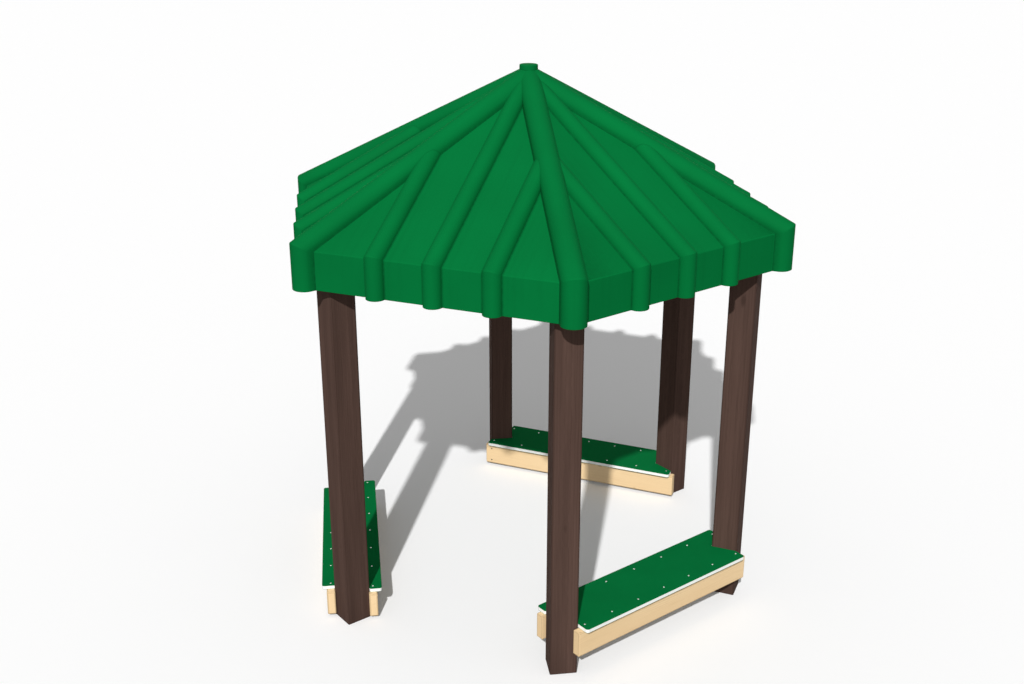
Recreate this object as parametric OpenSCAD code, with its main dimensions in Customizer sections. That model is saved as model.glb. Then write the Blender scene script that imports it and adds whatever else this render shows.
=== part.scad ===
// Six-sided garden gazebo: square posts, a ribbed moulded roof and three benches.
// The origin is on the ground at the centre, +Z is up, and lengths are in millimetres.

/* [Posts] */
// Side of the square posts
post_side = 120; // [100:1:140]
// Rounding of the posts' long edges
post_edge = 4; // [3:0.5:10]
// Clearance between a post's outer corners and the inside of the fascia
fascia_gap = 43.5; // [20:0.5:120]

/* [Roof] */
// Distance from the centre to the outer face of each fascia
fascia_apothem = 1035; // [900:1:1250]
// Height of the fascia's lower edge above the ground
fascia_bottom = 1655; // [1500:1:2000]
// Height of the fascia, from its lower edge to the eave
fascia_height = 168; // [120:1:240]
// Slope of the roof's faces in degrees
roof_pitch = 29.75; // [25:0.25:36]
// Thickness of the moulded roof
roof_skin = 6; // [4:0.5:7.5]
// Depth of each rib's centre line below the surface that it stands on
rib_sink = 1; // [0.5:0.5:12]
// Radius of the three ribs on each face
face_rib_radius = 41; // [36:1:60]
// Distance between neighbouring ribs on a face
face_rib_spacing = 258; // [200:1:300]
// Radius of the ribs that cover the hips
hip_rib_radius = 53; // [44:1:66]
// Radius of the cap at the top
cap_radius = 42; // [36:1:50]
// Height of the cap above the hip ribs that it stands on
cap_rise = 23; // [12:1:40]

/* [Benches] */
// Gap under the beams of the two low benches
low_bench_gap = 15; // [5:1:60]
// Gap under the beams of the high bench
high_bench_gap = 111; // [70:1:200]
// Thickness of the beams
beam_thickness = 40; // [30:1:50]
// Height of the beams
beam_height = 120; // [90:1:150]
// Rounding of the beams' edges
beam_edge = 5; // [2:0.5:10]
// Depth of the flat that is cut into a post where a beam bears on it
beam_seat = 4; // [2:0.5:10]
// Length of each beam past the post's corner that it bears on
beam_overrun = 23; // [10:1:40]
// Thickness of the seat boards
board_thickness = 19; // [12:0.5:25]
// Overhang of a board past the beams' faces
board_overhang = 21; // [5:1:30]
// Distance from a board's end back to the post's corner, along its outer edge
board_end_gap = 5; // [2:0.5:12]
// Length of a board past the post's corner, along its inner edge
board_overrun = 3.5; // [0:0.5:10]
// Rounding of a board's corners in plan
board_corner = 12; // [6:1:25]
// Gap between a board's notch and the post
notch_gap = 2; // [1:0.5:5]

/* [Hidden] */

// Colours as the photo shows them
post_colour = "#4f3d34";
beam_colour = "#ecd0a2";
board_colour = "#04693a";
roof_colour = "#007a3c";

// Half of the angle between neighbouring corners of the hexagon
half_turn = 30;
// Slope of the fascia and of the ribs on it in degrees
fascia_pitch = 90;
// Outward directions of the corners and of the sides with benches
front_angle = -90;
front_right_angle = -30;
back_right_angle = 30;
back_angle = 90;
back_left_angle = 150;
front_left_angle = 210;
front_right_side_angle = -60;
back_right_side_angle = 60;
left_side_angle = 180;

// Segments in a quarter of a rounded edge
round_steps = 4;
// Facets of the round ribs and the cap
round_fn = 64;
// Gap between curved faces that are fitted to each other
fit_gap = 0.4;
// Half width of a rib between its straight flanks, as a share of its radius
flank_share = 0.99;
// Overrun of cuts past the solid that they cut
cut = 20;

// Posts: reach of a post's outer corners towards a side, and their shift along that side
post_half = post_side / 2;
corner_reach = post_half * (cos(half_turn) + sin(half_turn));
corner_shift = post_half * (cos(half_turn) - sin(half_turn));
// Places of the posts, inside the fascia: towards a side, along it, and from the centre
inner_apothem = fascia_apothem - roof_skin;
post_distance = inner_apothem - fascia_gap - corner_reach;
post_offset = post_distance * tan(half_turn);
post_radius = post_distance / cos(half_turn);

// Roof: the apex and the eave of the outer faces, and the same for the underside
eave_height = fascia_bottom + fascia_height;
apex_height = eave_height + fascia_apothem * tan(roof_pitch);
inner_apex = apex_height - roof_skin / cos(roof_pitch);
inner_eave = inner_apex - inner_apothem * tan(roof_pitch);
corner_radius = fascia_apothem / cos(half_turn);
roof_reach = corner_radius + hip_rib_radius + cut;
// Hips: their slope, and the depth of the hip ribs' centre lines below the hip and inside the corner
hip_pitch = atan(tan(roof_pitch) * cos(half_turn));
hip_normal_share = sin(hip_pitch) * sin(roof_pitch) * cos(half_turn) + cos(hip_pitch) * cos(roof_pitch);
hip_sink = rib_sink / hip_normal_share;
corner_sink = rib_sink / cos(half_turn);
// Cap: the flat ring that it stands on is cut half-way through the hip ribs' skin
hip_top_at_cap = apex_height - cap_radius * tan(hip_pitch) + (hip_rib_radius - hip_sink) / cos(hip_pitch);
cap_seat = roof_skin / 2 / cos(hip_pitch);
cap_base = hip_top_at_cap - cap_seat;
cap_top = hip_top_at_cap + cap_rise;
cap_edge = cap_radius / 14;

// Benches: faces of the beams, measured from the centre along the bench's outward direction
outer_beam_back = post_distance + corner_reach - beam_seat;
outer_beam_face = outer_beam_back + beam_thickness;
inner_beam_back = post_distance - corner_reach + beam_seat;
inner_beam_face = inner_beam_back - beam_thickness;
outer_beam_half = post_offset - corner_shift + beam_overrun;
inner_beam_half = post_offset + corner_shift + beam_overrun;
board_outer_edge = outer_beam_face + board_overhang;
board_inner_edge = inner_beam_face - board_overhang;
board_outer_half = post_offset - corner_shift - board_end_gap;
board_inner_half = post_offset + corner_shift + board_overrun;
notch_side = post_side + 2 * notch_gap;

// Points of a quarter circle round a centre, from a starting angle
function quarter(x, y, r, start) =
    [for (i = [0 : round_steps]) [x + r * cos(start + 90 * i / round_steps), y + r * sin(start + 90 * i / round_steps)]];

// Rectangle with rounded corners, centred on the origin
module rounded_rectangle(w, h, r) {
    polygon(concat(
        quarter(w / 2 - r, h / 2 - r, r, 0),
        quarter(r - w / 2, h / 2 - r, r, 90),
        quarter(r - w / 2, r - h / 2, r, 180),
        quarter(w / 2 - r, r - h / 2, r, 270)
    ));
}

// Sector of the plan between two neighbouring corners or sides, open along local +X
module sector() {
    linear_extrude(height = cap_top + cut)
        polygon([
            [0, 0],
            [roof_reach, -roof_reach * tan(half_turn)],
            [roof_reach, roof_reach * tan(half_turn)]
        ]);
}

// Cross-section of a rib with the space under its centre line, as wide as the rib's flanks allow
module rib_section(r, half_width) {
    intersection() {
        union() {
            circle(r = r, $fn = round_fn);
            translate([-2 * r, -2 * roof_reach])
                square([4 * r, 2 * roof_reach]);
        }
        translate([-half_width, -3 * roof_reach])
            square([2 * half_width, 4 * roof_reach]);
    }
}

// A rib's section drawn along a line that falls outward at a pitch, with the outer face up
module rib_run(r, half_width, pitch, back, ahead) {
    rotate([0, pitch, 0])
        rotate([90, 0, 90])
            translate([0, 0, -back])
                linear_extrude(height = back + ahead)
                    rib_section(r, half_width);
}

// Rib that comes down a slope and turns down at the eave with a mitre, with the space inside the bend.
// The two centre lines meet at [x, z] in the local XZ plane.
module mitred_rib(r, pitch, x, z, overrun) {
    translate([x, 0, z])
        intersection() {
            rib_run(r, r * flank_share, pitch, 2 * x, 2 * roof_reach);
            rib_run(r, 2 * r, fascia_pitch, 2 * roof_reach, z - fascia_bottom + overrun);
        }
}

// Rib on a roof face, at the middle of the face
module face_rib(r, overrun) {
    x = fascia_apothem - rib_sink;
    mitred_rib(r, roof_pitch, x, apex_height - x * tan(roof_pitch) - rib_sink / cos(roof_pitch), overrun);
}

// Rib on a hip, with the hip along local +X
module hip_cover(r, overrun) {
    x = corner_radius - corner_sink;
    mitred_rib(r, hip_pitch, x, apex_height - x * tan(hip_pitch) - hip_sink / cos(hip_pitch), overrun);
}

// Space under a roof face and inside its fascia, between two planes given by an apothem and an apex
module under_face(apothem, apex) {
    rotate([90, 0, 0])
        linear_extrude(height = 2 * roof_reach, center = true)
            polygon([
                [-roof_reach, -cut],
                [apothem, -cut],
                [apothem, apex - apothem * tan(roof_pitch)],
                [-roof_reach, apex + roof_reach * tan(roof_pitch)]
            ]);
}

// Post with its foot on the ground, its top cut to the roof's underside, and flats for the beams of one bench
module post(corner, side, gap) {
    color(post_colour)
        difference() {
            intersection() {
                rotate([0, 0, corner])
                    translate([post_radius, 0, 0])
                        linear_extrude(height = apex_height)
                            rounded_rectangle(post_side, post_side, post_edge);
                rotate([0, 0, corner - half_turn])
                    under_face(inner_apothem, inner_apex);
                rotate([0, 0, corner + half_turn])
                    under_face(inner_apothem, inner_apex);
            }
            rotate([0, 0, side]) {
                translate([outer_beam_back, -post_radius, gap])
                    cube([post_side, 2 * post_radius, beam_height]);
                translate([inner_beam_back - post_side, -post_radius, gap])
                    cube([post_side, 2 * post_radius, beam_height]);
            }
        }
}

// Beam with rounded edges, centred on the local Y axis, between two distances from the centre
module beam(side, near, half_length, gap) {
    color(beam_colour)
        rotate([0, 0, side])
            translate([near + beam_thickness / 2, 0, gap])
                intersection() {
                    rotate([90, 0, 0])
                        linear_extrude(height = 2 * half_length, center = true)
                            translate([0, beam_height / 2])
                                rounded_rectangle(beam_thickness, beam_height, beam_edge);
                    linear_extrude(height = beam_height)
                        rounded_rectangle(beam_thickness, 2 * half_length, beam_edge);
                }
}

// Seat board: longer along its inner edge, with a notch round each post that runs straight out past its end
module board(side, gap) {
    middle = post_distance;
    color(board_colour)
        rotate([0, 0, side])
            translate([0, 0, gap + beam_height])
                linear_extrude(height = board_thickness)
                    difference() {
                        union() {
                            translate([(board_outer_edge + board_inner_edge) / 2, 0])
                                rounded_rectangle(
                                    board_outer_edge - board_inner_edge, 2 * board_outer_half, board_corner);
                            translate([(middle + board_inner_edge) / 2, 0])
                                rounded_rectangle(middle - board_inner_edge, 2 * board_inner_half, board_corner);
                        }
                        for (turn = [-half_turn, half_turn])
                            rotate(turn)
                                translate([post_radius, sign(turn) * cut / 2])
                                    rounded_rectangle(notch_side, notch_side + cut, post_edge + notch_gap);
                    }
}

// Roof panel: sloping face and fascia in one bend, with three hollow ribs that end against the hip ribs
module roof_panel(side) {
    rib_places = [-face_rib_spacing, 0, face_rib_spacing];
    color(roof_colour)
        rotate([0, 0, side])
            intersection() {
                difference() {
                    union() {
                        panel_skin();
                        difference() {
                            for (y = rib_places)
                                translate([0, y, 0])
                                    face_rib(face_rib_radius, 0);
                            for (turn = [-half_turn, half_turn])
                                rotate([0, 0, turn])
                                    hip_cover(hip_rib_radius + fit_gap, cut);
                        }
                    }
                    under_face(inner_apothem, inner_apex);
                    cap_space();
                    difference() {
                        for (y = rib_places)
                            translate([0, y, 0])
                                face_rib(face_rib_radius - roof_skin, cut);
                        for (turn = [-half_turn, half_turn])
                            rotate([0, 0, turn])
                                hip_cover(hip_rib_radius + roof_skin, 2 * cut);
                    }
                }
                sector();
            }
}

// Plain skin of a panel, before its ribs
module panel_skin() {
    rotate([90, 0, 0])
        linear_extrude(height = 2 * roof_reach, center = true)
            polygon([
                [0, apex_height],
                [fascia_apothem, eave_height],
                [fascia_apothem, fascia_bottom],
                [inner_apothem, fascia_bottom],
                [inner_apothem, inner_eave],
                [0, inner_apex]
            ]);
}

// Hip rib: hollow cover that stands on the two panels beside it
module hip_rib(corner) {
    color(roof_colour)
        rotate([0, 0, corner])
            intersection() {
                difference() {
                    hip_cover(hip_rib_radius, 0);
                    hip_cover(hip_rib_radius - roof_skin, cut);
                    intersection() {
                        rotate([0, 0, -half_turn])
                            under_face(fascia_apothem, apex_height);
                        rotate([0, 0, half_turn])
                            under_face(fascia_apothem, apex_height);
                    }
                    cap_space();
                }
                sector();
            }
}

// Space that the ribs leave for the cap, with its flat seat
module cap_space() {
    translate([0, 0, cap_base])
        cylinder(r = cap_radius + fit_gap, h = cap_top, $fn = round_fn);
}

// Round cap that closes the roof where the hip ribs meet
module apex_cap() {
    color(roof_colour)
        rotate_extrude($fn = round_fn)
            polygon([
                [0, cap_base],
                [cap_radius, cap_base],
                [cap_radius, cap_top - cap_edge],
                [cap_radius - cap_edge, cap_top],
                [0, cap_top]
            ]);
}

module post_front() { post(front_angle, front_right_side_angle, high_bench_gap); }
module post_front_right() { post(front_right_angle, front_right_side_angle, high_bench_gap); }
module post_back_right() { post(back_right_angle, back_right_side_angle, low_bench_gap); }
module post_back() { post(back_angle, back_right_side_angle, low_bench_gap); }
module post_back_left() { post(back_left_angle, left_side_angle, low_bench_gap); }
module post_front_left() { post(front_left_angle, left_side_angle, low_bench_gap); }

module outer_beam(side, gap) { beam(side, outer_beam_back, outer_beam_half, gap); }
module inner_beam(side, gap) { beam(side, inner_beam_face, inner_beam_half, gap); }

post_front();
post_front_right();
post_back_right();
post_back();
post_back_left();
post_front_left();
outer_beam(front_right_side_angle, high_bench_gap);  // bench_front_right_outer_beam
inner_beam(front_right_side_angle, high_bench_gap);  // bench_front_right_inner_beam
board(front_right_side_angle, high_bench_gap);  // bench_front_right_board
outer_beam(back_right_side_angle, low_bench_gap);  // bench_back_right_outer_beam
inner_beam(back_right_side_angle, low_bench_gap);  // bench_back_right_inner_beam
board(back_right_side_angle, low_bench_gap);  // bench_back_right_board
outer_beam(left_side_angle, low_bench_gap);  // bench_left_outer_beam
inner_beam(left_side_angle, low_bench_gap);  // bench_left_inner_beam
board(left_side_angle, low_bench_gap);  // bench_left_board
roof_panel(front_angle - half_turn);  // roof_panel_front_left
roof_panel(front_angle + half_turn);  // roof_panel_front_right
roof_panel(front_right_angle + half_turn);  // roof_panel_right
roof_panel(back_angle - half_turn);  // roof_panel_back_right
roof_panel(back_angle + half_turn);  // roof_panel_back_left
roof_panel(back_left_angle + half_turn);  // roof_panel_left
hip_rib(front_angle);  // hip_rib_front
hip_rib(front_right_angle);  // hip_rib_front_right
hip_rib(back_right_angle);  // hip_rib_back_right
hip_rib(back_angle);  // hip_rib_back
hip_rib(back_left_angle);  // hip_rib_back_left
hip_rib(front_left_angle);  // hip_rib_front_left
apex_cap();
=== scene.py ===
"""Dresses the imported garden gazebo: posts, bench beams, layered seat boards, a moulded roof and screws."""

import math
from types import SimpleNamespace

import bmesh
import bpy
from bpy.props import FloatProperty, FloatVectorProperty, PointerProperty
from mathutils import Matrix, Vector


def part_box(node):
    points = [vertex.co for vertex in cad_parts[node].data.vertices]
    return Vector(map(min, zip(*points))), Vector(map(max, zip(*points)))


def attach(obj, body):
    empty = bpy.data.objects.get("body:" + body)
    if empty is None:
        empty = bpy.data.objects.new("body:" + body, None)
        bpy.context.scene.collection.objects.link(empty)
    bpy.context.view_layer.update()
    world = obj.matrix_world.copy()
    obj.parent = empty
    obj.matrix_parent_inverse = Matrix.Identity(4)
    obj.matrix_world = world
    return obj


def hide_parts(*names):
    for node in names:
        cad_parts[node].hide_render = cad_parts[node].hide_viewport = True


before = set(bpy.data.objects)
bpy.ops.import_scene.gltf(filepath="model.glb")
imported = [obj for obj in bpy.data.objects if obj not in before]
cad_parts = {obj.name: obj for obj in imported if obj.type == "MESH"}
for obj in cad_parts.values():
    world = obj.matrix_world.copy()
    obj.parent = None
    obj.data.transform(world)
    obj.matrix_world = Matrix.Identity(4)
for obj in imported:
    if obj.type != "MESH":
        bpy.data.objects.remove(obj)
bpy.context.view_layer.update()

bl_info = {
    "name": "Garden gazebo",
    "version": (1, 0, 0),
    "blender": (4, 5, 0),
    "location": "3D View > Sidebar > Gazebo",
    "description": "Makes the pieces of a six-sided garden gazebo and the stage that shows them",
    "category": "Object",
}

# Names of the solids at the corners and on the sides, in turn, and where the benches are
CORNER_NAMES = ("front", "front_right", "back_right", "back", "back_left", "front_left")
PANEL_NAMES = ("front_left", "front_right", "right", "back_right", "back_left", "left")
BENCH_NAMES = ("front_right", "back_right", "left")
# Half of the angle between neighbouring corners
HALF_TURN_DEGREES = 30
HALF_TURN = math.radians(HALF_TURN_DEGREES)
# Directions of the corners, panels and benches in plan, in degrees
CORNERS = {name: 2 * HALF_TURN_DEGREES * step - 90 for step, name in enumerate(CORNER_NAMES)}
PANELS = {name: 2 * HALF_TURN_DEGREES * step - 120 for step, name in enumerate(PANEL_NAMES)}
BENCHES = {name: PANELS[name] for name in BENCH_NAMES}
# Steps in a board's edge, in other rounded edges, in a rib's arc, in a crease and in the bend at the eave
BOARD_EDGE_STEPS = 3
ROUND_STEPS = 5
ARC_STEPS = 26
CREASE_STEPS = 4
BEND_STEPS = 5
# Rows of points down the plain part of a slope
SLOPE_ROWS = 6
# Rise, normal and crease mark of a roof panel's plain face
PLAIN_FACE = (0.0, 0.0, 1.0, 0.0)
# Half width of a rib between its straight flanks, as a share of its radius
FLANK_SHARE = 0.99
# Distance from the centre at which the hip ribs start under the cap, as a share of the cap's radius
HIP_START_SHARE = 0.7
# Ends of the panels' ribs: tuck under the hip rib, places of the rows below it, and dirt with painted shade
# on the first rows
RIB_END_TUCK = 0.0015
RIB_END_PLACES = (0.004, 0.011)
RIB_END_MARKS = (0.7, 0.7, 0.7, 0.6, 0.2)
# Share of the way round a crease where its dirt and painted shade are thickest, and the least of them at a
# hip rib's flank
CREASE_DIRT_AND_SHADE_PEAK = 0.4
HIP_DIRT_AND_SHADE_LEAST = 0.35
# Halvings that find where a line comes out from under a hip rib
HALVINGS = 40
# Plain strips beside the creases and beside the rounded edges of posts and beams
CREASE_LEAD = 0.006
POST_LEAD = 0.004
BEAM_LEAD = 0.003
# Smallest rounding that a beam's section keeps at its ends, and how fast its wear fades there
LEAST_EDGE = 0.0004
EDGE_WEAR_POWER = 8
# Shift of the grain from post to post, from beam to beam and from board to board
POST_GRAIN_STEP = Vector((3.7, 0.006, -0.004))
BEAM_GRAIN_STEP = 2.9
BOARD_GRAIN_STEP = 1.7
# Pith of the first beam, across and up from its middle, and its steps in a mixed order of the beams
PITH_FIRST = (0.035, -0.050)
PITH_STEP = (0.011, -0.017)
PITH_ORDER = (0, 5, 3, 1, 6, 4)
# Points closer than this are one point
MERGE_GAP = 0.00001
# Edges that turn by more than this stay sharp
SHARP_TURN = math.radians(38)
# Cap: facets, rise of its crowned top, easing of its foot, height of the dirt and painted shade there and
# the pattern's place
CAP_TURNS = 72
CAP_CROWN = 0.0015
CAP_FOOT_EASE = 0.001
CAP_DIRT_AND_SHADE_HEIGHT = 0.006
CAP_RUN = 13.0
# Rings of the cap's top as shares of its radius, with their depth as shares of the crown
CAP_TOP_RINGS = ((0.6, 0.4), (0.2, 0.0))
# Screws: facets of a head, turn from head to head, screws on each side of a row's middle one
SCREW_TURNS = 36
SCREW_TURN_STEP = 0.7
SCREWS_EACH_SIDE = 3
# Place along the beam and heights of the dark screws at its end
BEAM_SCREW_ALONG = 0.531
BEAM_SCREW_HEIGHTS = (0.036, 0.108)
# Section of a screw's head in shares of its radius and height, with the lobes' share and the mark of painted
# shade in the recess
SCREW_SECTION_SHARES = (
    (1.00, -0.30, 0.0, 0.0),
    (1.00, 0.25, 0.0, 0.0),
    (0.95, 0.55, 0.0, 0.0),
    (0.82, 0.82, 0.0, 0.0),
    (0.62, 0.97, 0.0, 0.0),
    (0.50, 1.00, 0.10, 0.0),
    (0.46, 0.96, 0.12, 1.0),
    (0.42, 0.35, 0.12, 1.0),
)
SCREW_LOBES = 6
# Floor: half of its side, own light where it is seen, and share of its white that lights the gazebo
FLOOR_HALF = 60.0
FLOOR_LIFT = 0.012
FLOOR_BOUNCE = 0.16
# Light of the even sky
SKY_LEVEL = 0.285
# White with full cover
WHITE = (1.0, 1.0, 1.0, 1.0)

POST_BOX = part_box("post_front")
OUTER_BEAM_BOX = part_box("bench_left_outer_beam")
INNER_BEAM_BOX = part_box("bench_left_inner_beam")
BOARD_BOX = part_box("bench_left_board")
PANEL_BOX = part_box("roof_panel_left")
CAP_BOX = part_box("apex_cap")


def length(name, description, default):
    """A length in metres that a user may change."""
    return FloatProperty(
        name=name, description=description, default=default, min=0.0, precision=4, unit="LENGTH"
    )


def tint(name, description, default):
    """A colour that a user may change."""
    return FloatVectorProperty(
        name=name, description=description, default=default, size=3, min=0.0, max=1.0, subtype="COLOR"
    )


class GazeboSizes(bpy.types.PropertyGroup):
    """Sizes of the gazebo's pieces, taken from the solids where their boxes give them."""

    post_side: length("Post side", "Side of the square posts", POST_BOX[1].x - POST_BOX[0].x)
    post_edge: length("Post edge", "Rounding of the posts' long edges", 0.004)
    post_foot_edge: length("Post foot edge", "Rounding of the posts' feet", 0.003)
    post_radius: length(
        "Post distance", "Distance from the centre to each post", -(POST_BOX[0].y + POST_BOX[1].y) / 2
    )
    fascia_apothem: length(
        "Fascia distance", "Distance from the centre to the outer face of each fascia", 1.035
    )
    fascia_bottom: length("Fascia bottom", "Height of the fascia's lower edge", PANEL_BOX[0].z)
    fascia_height: length("Fascia height", "Height of the fascia up to the eave", 0.168)
    roof_pitch: FloatProperty(
        name="Roof pitch",
        description="Slope of the roof's faces",
        default=math.radians(29.75),
        subtype="ANGLE",
    )
    roof_skin: length("Roof skin", "Thickness of the moulded roof", 0.006)
    rib_sink: length("Rib sink", "Depth of a rib's centre line below the surface that it stands on", 0.001)
    corner_sink: length(
        "Corner sink", "Depth of a hip rib's centre line inside the fascias at the corner", 0.008
    )
    face_rib_radius: length("Face rib radius", "Radius of the three ribs on each face", 0.041)
    face_rib_spacing: length("Face rib spacing", "Distance between neighbouring ribs on a face", 0.258)
    hip_rib_radius: length("Hip rib radius", "Radius of the ribs that cover the hips", 0.053)
    crease_radius: length("Crease radius", "Rounding in the creases beside the ribs", 0.0035)
    eave_radius: length("Eave radius", "Outer rounding of the moulded bend at the eave", 0.008)
    rim_edge: length("Rim edge", "Easing of the roof's lower rim", 0.0012)
    cap_edge: length("Cap edge", "Rounding of the cap's top edge", 0.004)
    beam_edge: length("Beam edge", "Rounding of the beams' edges", 0.005)
    beam_overrun: length("Beam overrun", "Length of the beams past the corner of the post", 0.023)
    board_end_gap: length(
        "Board end gap", "Distance from a board's outer end back to the post's corner", 0.005
    )
    board_corner: length("Board corner", "Rounding of the boards' corners in plan", 0.012)
    board_notch_corner: length("Board notch corner", "Rounding of the corners beside the posts", 0.004)
    board_edge: length("Board edge", "Rounding of the boards' upper and lower edges", 0.0014)
    board_skin: length("Board skin", "Thickness of the boards' green outer layers", 0.0018)
    notch_gap: length("Notch gap", "Gap between a board's notch and the post", 0.002)
    screw_radius: length("Screw radius", "Radius of the screws' heads", 0.0040)
    screw_height: length("Screw height", "Height of the screws' heads", 0.0022)
    outer_screw_pitch: length("Outer screw pitch", "Distance between screws along the outer beam", 0.1584)
    inner_screw_pitch: length("Inner screw pitch", "Distance between screws along the inner beam", 0.1744)


class GazeboColours(bpy.types.PropertyGroup):
    """Colours of the gazebo's finishes and of the floor."""

    post_brown: tint("Post brown", "Stain on the posts", (0.0850, 0.0505, 0.0400))
    pine_pale: tint("Pine, pale", "Wide pale bands of the beams' growth rings", (0.874, 0.653, 0.385))
    pine_dark: tint("Pine, dark", "Narrow dark bands of the beams' growth rings", (0.750, 0.509, 0.259))
    roof_green: tint("Roof green", "Moulded plastic of the roof", (0.0008, 0.140, 0.0325))
    board_green: tint("Board green", "Outer layers of the seat boards", (0.0012, 0.148, 0.0365))
    board_core: tint("Board core", "Pale layer inside the seat boards", (0.930, 0.945, 0.915))
    screw_steel: tint("Screw steel", "Bright screws in the boards", (0.760, 0.800, 0.770))
    screw_dark: tint("Screw, dark", "Blackened screws in the beam", (0.040, 0.038, 0.036))
    floor_white: tint("Floor", "Floor under the gazebo", (0.985, 0.985, 0.985))


class Finish:
    """Nodes of one material, or of the sky: adds them, sets their sockets and links them."""

    def __init__(self, block):
        block.use_nodes = True
        self.block = block
        self.nodes = block.node_tree.nodes
        self.links = block.node_tree.links

    def put(self, socket, value):
        """Links a socket to another node's output, or sets it to a constant."""
        if isinstance(value, bpy.types.NodeSocket):
            self.links.new(value, socket)
        else:
            socket.default_value = value

    def add(self, kind, sockets=None, **settings):
        """Adds a node with its settings, and its sockets by name or number."""
        node = self.nodes.new("ShaderNode" + kind)
        for key, value in settings.items():
            setattr(node, key, value)
        for key, value in (sockets or {}).items():
            self.put(node.inputs[key], value)
        return node

    def mark(self, name):
        """Number that the mesh keeps at each point under a name."""
        return self.add("Attribute", attribute_name=name).outputs["Fac"]

    def path(self, name):
        """Place along and across a piece, which its mesh keeps under a name."""
        return self.add("Attribute", attribute_name=name).outputs["Vector"]

    def spot(self):
        """Place in the piece's own frame."""
        return self.add("TexCoord").outputs["Object"]

    def stretch(self, place, scales):
        """Place scaled along each axis."""
        return self.add("VectorMath", {0: place, 1: scales}, operation="MULTIPLY").outputs[0]

    def noise(self, place, scale, detail, roughness=0.5):
        """Cloudy pattern from 0 to 1."""
        sockets = {"Vector": place, "Scale": scale, "Detail": detail, "Roughness": roughness}
        return self.add("TexNoise", sockets).outputs[0]

    def spread(self, value, low, high, first=0.0, last=1.0):
        """Maps a range of a value to another range, and holds it there."""
        return self.add("MapRange", {0: value, 1: low, 2: high, 3: first, 4: last}, clamp=True).outputs[0]

    def math(self, operation, first, second):
        """Result of one sum on two values."""
        return self.add("Math", {0: first, 1: second}, operation=operation).outputs[0]

    def mix(self, share, first, second):
        """Colour between two colours."""
        return self.add("Mix", {0: share, 6: first, 7: second}, data_type="RGBA").outputs[2]

    def rings(self, place, scale, distortion, detail_scale):
        """Growth rings round the grain, from 0 to 1."""
        sockets = {"Vector": place, "Scale": scale, "Distortion": distortion}
        sockets.update({"Detail": 2.0, "Detail Scale": detail_scale})
        wave = self.add("TexWave", sockets, wave_type="RINGS", rings_direction="X", wave_profile="SAW")
        return wave.outputs["Fac"]

    def knots(self, place, share, near, far):
        """Scattered knots, 1 in their middles, in the cells whose colour is above a share."""
        cell = self.add("TexVoronoi", {"Vector": place, "Scale": 1.0})
        kept = self.add("SeparateColor", {0: cell.outputs["Color"]}).outputs[0]
        kept = self.spread(kept, share, share + 0.02)
        return self.math("MULTIPLY", kept, self.spread(cell.outputs["Distance"], near, far, 1.0, 0.0))

    def stain(self, colour, base, *layers):
        """Lays patterns over a colour in shades of a base colour.
        A layer has its pattern, the range that it grows over, its most cover and its shade."""
        for pattern, low, high, most, factor in layers:
            colour = self.mix(self.spread(pattern, low, high, 0.0, most), colour, shade(base, factor))
        return colour

    def bump(self, height, distance, under=None):
        """Bent normals from a pattern of heights, over other bent normals if there are any."""
        sockets = {"Height": height, "Distance": distance}
        if under is not None:
            sockets["Normal"] = under
        return self.add("Bump", sockets).outputs[0]

    def finish(self, **sockets):
        """Sets the shader's sockets, whose names are given with _ for spaces, and returns the material."""
        shader = self.nodes["Principled BSDF"]
        for key, value in sockets.items():
            self.put(shader.inputs[key.replace("_", " ")], value)
        return self.block

    def show_to_camera(self, shown, unseen, output):
        """Shows one shader to the camera, also in reflections and through glass, and another to light."""
        path = self.add("LightPath").outputs
        seen = self.math("MAXIMUM", path["Is Camera Ray"], path["Is Glossy Ray"])
        seen = self.math("MAXIMUM", seen, path["Is Transmission Ray"])
        mixed = self.add("MixShader", {0: seen, 1: unseen, 2: shown}).outputs[0]
        self.put(self.nodes[output].inputs["Surface"], mixed)


def shade(colour, factor):
    """A colour made darker or paler by a factor, with full cover."""
    return tuple(min(1.0, part * factor) for part in colour) + (1.0,)


def colours():
    """The colours as they are set in the scene."""
    return bpy.context.scene.gazebo_colours


def sizes():
    """The sizes as they are set in the scene."""
    return bpy.context.scene.gazebo_sizes


def moulded_plastic(name):
    """Green moulded plastic: clouded colour, run-off streaks, dirt and painted shade in the creases and a
    pebbled skin.
    """
    green = colours().roof_green
    plastic = Finish(bpy.data.materials.new(name))
    spot = plastic.spot()
    cloud = plastic.noise(spot, 2.6, 3.0)
    fleck = plastic.noise(spot, 420.0, 1.0)
    streak = plastic.noise(plastic.stretch(plastic.path("run"), (44.0, 2.4, 7.0)), 1.0, 3.0)
    dirt = plastic.noise(spot, 55.0, 3.0)
    # Dirt and painted shade in the creases, where the crease mark is high; it also roughens the skin a
    # little
    crease_dirt_and_shade = plastic.math("MULTIPLY", plastic.mark("crease"), plastic.spread(dirt, 0.25, 0.75, 0.42, 0.80))
    colour = plastic.mix(plastic.spread(cloud, 0.32, 0.68), shade(green, 0.94), shade(green, 1.07))
    colour = plastic.stain(
        colour,
        green,
        (streak, 0.52, 0.80, 0.22, 0.72),
        (fleck, 0.62, 0.76, 0.30, 0.80),
        (crease_dirt_and_shade, 0.0, 1.0, 1.0, 0.26),
    )
    skin = plastic.bump(plastic.noise(spot, 150.0, 2.0), 0.00022)
    waves = plastic.bump(plastic.noise(spot, 6.0, 1.0), 0.0010, skin)
    rough = plastic.spread(cloud, 0.3, 0.7, 0.74, 0.86)
    rough = plastic.math("ADD", rough, plastic.math("MULTIPLY", crease_dirt_and_shade, 0.1))
    return plastic.finish(Base_Color=colour, Roughness=rough, Normal=waves, Specular_IOR_Level=0.025)


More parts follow.
